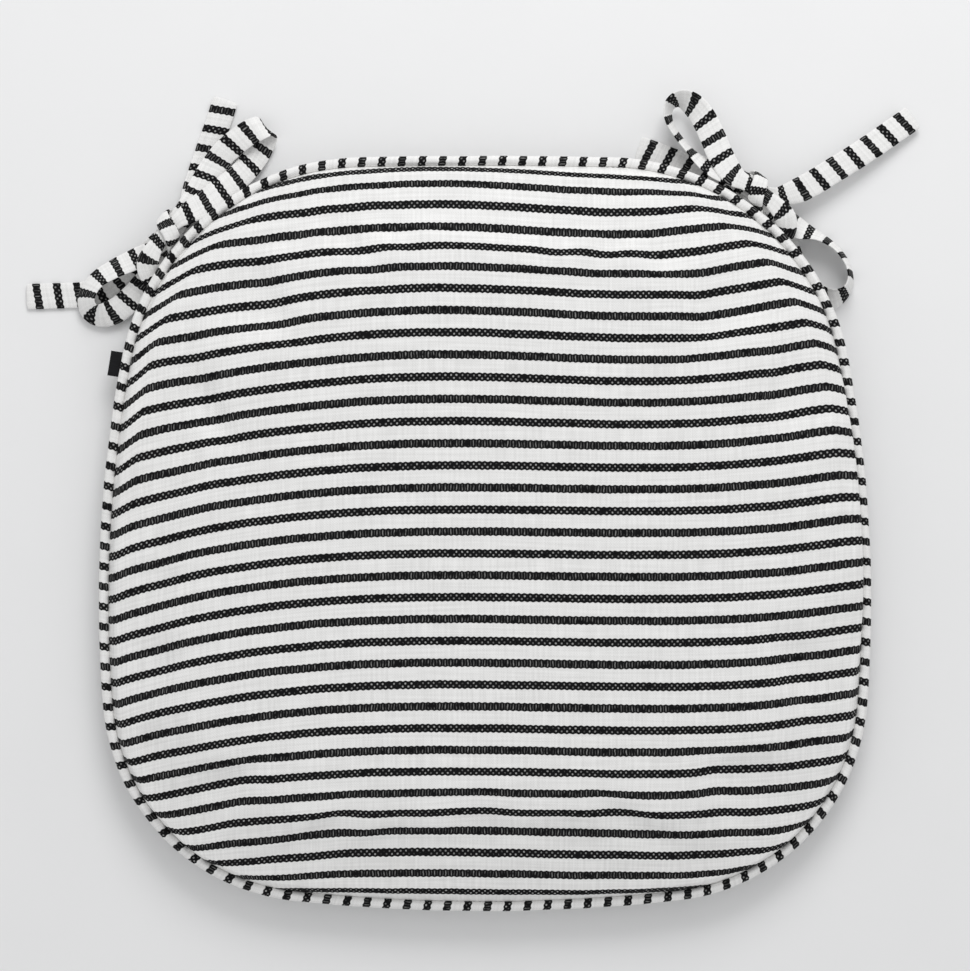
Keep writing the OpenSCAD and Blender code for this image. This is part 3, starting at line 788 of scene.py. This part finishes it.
satin_tree = satin.node_tree
satin_place = satin_tree.nodes.new("ShaderNodeTexCoord").outputs["Object"]
satin_turn = satin_tree.nodes.new("ShaderNodeMapping")
satin_turn.inputs["Rotation"].default_value = (0, 0, -label_angle)
satin_tree.links.new(satin_place, satin_turn.inputs["Vector"])
satin_axes = satin_tree.nodes.new("ShaderNodeSeparateXYZ")
satin_tree.links.new(satin_turn.outputs[0], satin_axes.inputs[0])
satin_pitch = 0.0005
satin_turns = maths(satin_tree, "MULTIPLY", satin_axes.outputs[1], 2 * math.pi / satin_pitch)
satin_rib = maths(satin_tree, "COSINE", satin_turns)
satin_float = grain(satin_tree, satin_turn.outputs[0], 0.0012, 2, (0.3, 2, 1))
satin_tree.links.new(
    blended(satin_tree, satin_float, (0.004, 0.004, 0.005), (0.016, 0.016, 0.018)),
    satin_shader.inputs["Base Color"],
)
satin_tree.links.new(clamped(satin_tree, satin_float, -1.2, 1.6), satin_shader.inputs["Roughness"])
satin_height = maths(satin_tree, "MULTIPLY_ADD", satin_rib, 0.3, satin_float)
raised(satin_tree, satin_shader, satin_height, 0.0001, 0.6)
label = to_object("label_loop", label_form, satin)
label_wall = label.modifiers.new("tape", "SOLIDIFY")
label_wall.thickness = 0.0004
label_wall.offset = 0
label_soft = label.modifiers.new("soft edges", "BEVEL")
label_soft.width, label_soft.segments = 0.00012, 2
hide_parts("side_label")
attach(label, "root")

# ---------------------------------------------------------------- the zip
# A white nylon coil zip let into the underside near its back edge, so that the
# cover comes off for washing. Its tapes are sewn behind the folded edges.
zip_length = 0.240
tape_reach = 0.129
tape_width = 0.0125
tape_inner = 0.0025
tape_height = 0.0036
twill, twill_shader = new_finish("zip tape", 0.85)
twill_tree = twill.node_tree
twill_place = twill_tree.nodes.new("ShaderNodeTexCoord").outputs["Object"]
twill_axes = twill_tree.nodes.new("ShaderNodeSeparateXYZ")
twill_tree.links.new(twill_place, twill_axes.inputs[0])
twill_zigzag = maths(twill_tree, "PINGPONG", twill_axes.outputs[1], 0.0016)
twill_run = maths(twill_tree, "ADD", twill_axes.outputs[0], twill_zigzag)
twill_pitch = 0.0009
twill_rib = maths(twill_tree, "COSINE", maths(twill_tree, "MULTIPLY", twill_run, 2 * math.pi / twill_pitch))
twill_tone = maths(twill_tree, "MULTIPLY_ADD", twill_rib, 0.15, grain(twill_tree, twill_place, 0.003))
twill_tree.links.new(
    blended(twill_tree, clamped(twill_tree, twill_tone, 0.2, 0.8), (0.66, 0.655, 0.64), (0.84, 0.835, 0.82)),
    twill_shader.inputs["Base Color"],
)
raised(twill_tree, twill_shader, twill_rib, 0.00012, 0.8)

nylon, nylon_shader = new_finish("zip coil", 0.38)
nylon_tree = nylon.node_tree
nylon_place = nylon_tree.nodes.new("ShaderNodeTexCoord").outputs["Object"]
nylon_tree.links.new(
    blended(nylon_tree, grain(nylon_tree, nylon_place, 0.004), (0.74, 0.74, 0.725), (0.86, 0.86, 0.845)),
    nylon_shader.inputs["Base Color"],
)
nylon_shader.inputs["Subsurface Weight"].default_value = 0.05

coil_pitch = 0.0015
coil_wire = 0.00028
coil_half, coil_rise = 0.0011, 0.00062
for name, node, coil_node, sign in (
    ("front", "zip_tape_front", "zip_coil_front", -1), ("back", "zip_tape_back", "zip_coil_back", 1),
):
    form = bmesh.new()
    bmesh.ops.create_grid(form, x_segments=130, y_segments=8, size=0.5)
    for vert in form.verts:
        x, y = vert.co.x * 2 * tape_reach, (vert.co.y + 0.5) * tape_width
        bead = 0.0003 * math.exp(-((y / 0.0009) ** 2))
        ripple = 0.00014 * noise.noise(Vector((x * 70, y * 60, sign)))
        vert.co = Vector((x, zip_line + sign * (tape_inner + y), tape_height + ripple - bead))
    bmesh.ops.recalc_face_normals(form, faces=form.faces)
    tape = to_object(f"zip_tape_{name}_web", form, twill)
    web = tape.modifiers.new("web", "SOLIDIFY")
    web.thickness, web.offset = 0.0005, 0
    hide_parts(node)
    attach(tape, "root")

    form = bmesh.new()
    turns = round(zip_length / coil_pitch)
    rings = []
    for n in range(turns * 12 + 1):
        a = 2 * math.pi * n / 12
        middle = Vector((
            -zip_length / 2 + coil_pitch * (n / 12 + (0.5 if sign > 0 else 0)) * 0.997,
            zip_line + sign * (0.0012 + coil_half * math.cos(a)),
            tape_height + coil_rise * math.sin(a),
        ))
        way = Vector((
            coil_pitch / (2 * math.pi), -sign * coil_half * math.sin(a), coil_rise * math.cos(a),
        )).normalized()
        side_way = way.cross(Vector((1, 0, 0))).normalized()
        up_way = way.cross(side_way)
        rings.append([
            form.verts.new(middle + (side_way * math.cos(b) + up_way * math.sin(b)) * coil_wire)
            for b in (k * math.pi / 3 for k in range(6))
        ])
    for ring, following in zip(rings, rings[1:]):
        for k in range(6):
            form.faces.new((ring[k], ring[(k + 1) % 6], following[(k + 1) % 6], following[k]))
    form.faces.new(rings[0])
    form.faces.new(rings[-1])
    bmesh.ops.recalc_face_normals(form, faces=form.faces)
    coil = to_object(f"zip_coil_{name}_teeth", form, nylon)
    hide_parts(coil_node)
    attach(coil, "root")

# The slider is die-cast and enamelled: two waisted plates on a neck, with an arch
# that holds the pull's pin. The pull is a thin stamped tab with a slot at its end.
enamel, enamel_shader = new_finish("slider enamel", 0.3)
enamel_shader.inputs["Metallic"].default_value = 0.85
enamel_tree = enamel.node_tree
enamel_place = enamel_tree.nodes.new("ShaderNodeTexCoord").outputs["Object"]
enamel_wear = grain(enamel_tree, enamel_place, 0.002, 4)
enamel_tree.links.new(
    blended(enamel_tree, enamel_wear, (0.55, 0.55, 0.56), (0.78, 0.78, 0.78)),
    enamel_shader.inputs["Base Color"],
)
enamel_tree.links.new(clamped(enamel_tree, enamel_wear, -0.6, 1.8), enamel_shader.inputs["Roughness"])
raised(enamel_tree, enamel_shader, enamel_wear, 0.00005, 0.4)

slider_middle = 0.1145
slider_length = 0.009
slider_width = 0.006
pin_place = Vector((0.1135, zip_line, 0.0008))


def plate(form, middle, size, waist=0.0):
    made = bmesh.ops.create_cube(form, size=1)["verts"]
    bmesh.ops.scale(form, verts=made, vec=size)
    bmesh.ops.translate(form, verts=made, vec=middle)
    for vert in made:
        if waist and vert.co.x < middle[0]:
            vert.co.y = zip_line + (vert.co.y - zip_line) * (1 - waist)
    return made


slider_form = bmesh.new()
for height in (0.0021, 0.0051):
    plate(slider_form, (slider_middle, zip_line, height), (slider_length, slider_width, 0.0008), 0.28)
plate(slider_form, (slider_middle + 0.0027, zip_line, 0.0036), (0.0022, 0.0010, 0.0032))
for sign in (-1, 1):
    for height in (0.0027, 0.0045):
        plate(slider_form, (slider_middle, zip_line + sign * 0.00275, height), (0.0076, 0.0005, 0.0009), 0.2)
    plate(slider_form, (pin_place.x, zip_line + sign * 0.00205, 0.0012), (0.0018, 0.0007, 0.0018))
slider_pin = bmesh.ops.create_cone(
    slider_form, cap_ends=True, segments=16, radius1=0.00045, radius2=0.00045, depth=0.0046,
)["verts"]
for vert in slider_pin:
    vert.co = Vector((vert.co.x, vert.co.z, vert.co.y)) + pin_place
bmesh.ops.recalc_face_normals(slider_form, faces=slider_form.faces)
slider = to_object("slider_body", slider_form, enamel)
slider_bevel = slider.modifiers.new("cast edges", "BEVEL")
slider_bevel.width, slider_bevel.segments = 0.00022, 3
slider_bevel.limit_method = "ANGLE"
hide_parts("zip_slider")
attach(slider, "slider")

pull_length, pull_width, pull_thick = 0.017, 0.005, 0.0006
pull_form = bmesh.new()
tab = [
    (0.0009, 0.0013), (0.0002, 0.00145), (-0.0034, 0.00145), (-0.0046, pull_width / 2),
    (0.0014 - pull_length, pull_width / 2), (0.0004 - pull_length, 0.0021), (-pull_length, 0.0012),
]
tab_ring = [pull_form.verts.new((x, y, 0)) for x, y in tab] + [
    pull_form.verts.new((x, -y, 0)) for x, y in reversed(tab)
]
tab_face = pull_form.faces.new(tab_ring)
bmesh.ops.inset_individual(pull_form, faces=[tab_face], thickness=0.0011)
bmesh.ops.delete(pull_form, geom=[tab_face], context="FACES_ONLY")
bmesh.ops.translate(pull_form, verts=pull_form.verts, vec=pin_place - Vector((0, 0, pull_thick / 2)))
bmesh.ops.recalc_face_normals(pull_form, faces=pull_form.faces)
pull = to_object("pull_tab", pull_form, enamel)
pull_wall = pull.modifiers.new("sheet metal", "SOLIDIFY")
pull_wall.thickness, pull_wall.offset = pull_thick, 1
pull_bevel = pull.modifiers.new("stamped edges", "BEVEL")
pull_bevel.width, pull_bevel.segments = 0.00012, 2
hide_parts("zip_pull")
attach(pull, "pull")

# White sewing thread: a row of topstitching holds each folded edge of the underside
# to the zip's tape behind it.
thread, thread_shader = new_finish("sewing thread", 0.7)
thread_tree = thread.node_tree
thread_place = thread_tree.nodes.new("ShaderNodeTexCoord").outputs["Object"]
thread_twist = grain(thread_tree, thread_place, 0.0005, 1, (1, 3, 3))
thread_tree.links.new(
    blended(thread_tree, thread_twist, (0.62, 0.62, 0.60), (0.88, 0.88, 0.86)),
    thread_shader.inputs["Base Color"],
)
raised(thread_tree, thread_shader, thread_twist, 0.0001, 0.7)
stitch_pitch, stitch_length = 0.0034, 0.0027
for name, sign in (("front", -1), ("back", 1)):
    form = bmesh.new()
    for k in range(int(2 * slot_reach / stitch_pitch)):
        made = bmesh.ops.create_uvsphere(form, u_segments=8, v_segments=6, radius=0.5)["verts"]
        bmesh.ops.scale(form, verts=made, vec=(stitch_length, 0.00045, 0.00036))
        x = -slot_reach + stitch_pitch * (k + 0.5)
        bmesh.ops.translate(form, verts=made, vec=(x, zip_line + sign * 0.0105, 0.00042))
    row = to_object(f"zip_topstitch_{name}", form, thread)
    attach(row, "root")

# ---------------------------------------------------------------- the filling
# Inside are a block of polyurethane foam, a second sheet of wadding under it, the
# cotton cord in the piping, and the stamped stops of the zip.


def cover_node(node, finish):
    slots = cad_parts[node].data.materials
    for k in range(len(slots)):
        slots[k] = finish
    if not len(slots):
        slots.append(finish)


cover_node("foam_core", fluffy("foam", (0.86, 0.80, 0.62), (0.62, 0.54, 0.36), 0.0012, 0.0006))
cover_node("wadding_bottom", wadding)
cotton = fluffy("cotton cord", (0.88, 0.84, 0.75), (0.66, 0.60, 0.50), 0.0014, 0.0005, (3, 3, 0.6))
cover_node("piping_cord", cotton)
cover_node("zip_top_stop", enamel)
cover_node("zip_bottom_stop", enamel)
